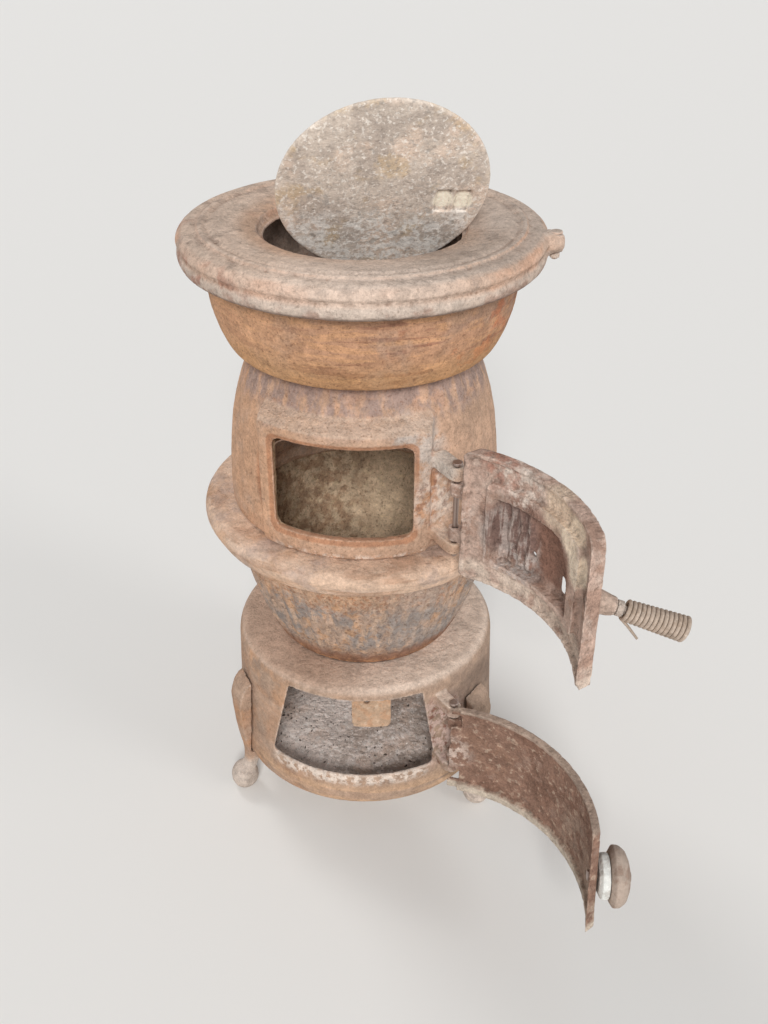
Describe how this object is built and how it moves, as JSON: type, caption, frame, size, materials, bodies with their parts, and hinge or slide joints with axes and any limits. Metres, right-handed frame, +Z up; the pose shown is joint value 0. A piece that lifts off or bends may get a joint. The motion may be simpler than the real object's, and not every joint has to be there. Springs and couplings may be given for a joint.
{
  "type": "pot-belly stove",
  "caption": "Rusted cast-iron pot-belly stove with fluted belly and fire bowl, lid leaning in its hole, swinging fire and ash doors, coil grip, knob, grate and short curved legs.",
  "frame": {"origin": "on the floor, under the stove's vertical axis", "axes": "+Z up along the stove's axis, -Y towards the fire and ash doors, +X to the right seen from the front"},
  "size_m": [0.4657, 0.5834, 0.8491],
  "materials": {
    "rusted_casting": "rusted and dusty",
    "scaled_casting": "dark scale with rust patches",
    "dusty_casting": "pale dust over rust",
    "rusted_steel": "rusted",
    "pale_steel": "dull, ash covered"
  },
  "bodies": {
    "stove": {"top_plate": "rusted_casting", "lid": "dusty_casting", "upper_bowl": "rusted_casting", "flue_collar": "scaled_casting", "flue_bolt_left": "rusted_steel", "flue_bolt_right": "rusted_steel", "belly_shell": "rusted_casting", "waist_ring": "rusted_casting", "fire_bowl": "scaled_casting", "base_drum": "rusted_casting", "ash_floor": "pale_steel", "leg_left": "dusty_casting", "leg_right": "dusty_casting", "leg_back": "dusty_casting", "leg_bolt_left": "rusted_steel", "leg_bolt_right": "rusted_steel", "leg_bolt_back": "rusted_steel", "fire_hinge_pin": "rusted_steel", "ash_hinge_pin": "rusted_steel", "ear_bolt": "rusted_steel", "ear_nut": "rusted_steel"},
    "grate": {"grate": "dusty_casting"},
    "fire_door": {"fire_door": "scaled_casting"},
    "fire_latch": {"latch_spindle": "rusted_steel", "latch_washer": "rusted_steel", "coil_grip": "pale_steel"},
    "ash_door": {"ash_door": "scaled_casting", "knob_stud": "rusted_steel"},
    "ash_knob": {"ash_knob": "rusted_casting", "knob_hub": "pale_steel"}
  },
  "joints": [
    {"name": "fire_door_swing", "type": "hinge", "parent": "stove", "child": "fire_door", "pos_m": [0.09025, -0.15632, 0.48], "axis": [0, 0, 1], "range_deg": [-130, 47]},
    {"name": "fire_latch_turn", "type": "hinge", "parent": "fire_door", "child": "fire_latch", "pos_m": [0.19801, -0.32445, 0.4856], "axis": [0.9481, -0.1248, -0.2924], "range_deg": [-90, 90]},
    {"name": "ash_door_swing", "type": "hinge", "parent": "stove", "child": "ash_door", "pos_m": [0.09936, -0.15069, 0.155], "axis": [0, 0, 1], "range_deg": [-135.3, 45]},
    {"name": "ash_knob_spin", "type": "hinge", "parent": "ash_door", "child": "ash_knob", "pos_m": [0.23247, -0.33859, 0.145], "axis": [0.9979, -0.0645, 0], "continuous": true},
    {"name": "grate_shake", "type": "hinge", "parent": "stove", "child": "grate", "pos_m": [0, 0, 0.23], "axis": [0, 0, 1], "range_deg": [-10, 10]}
  ]
}
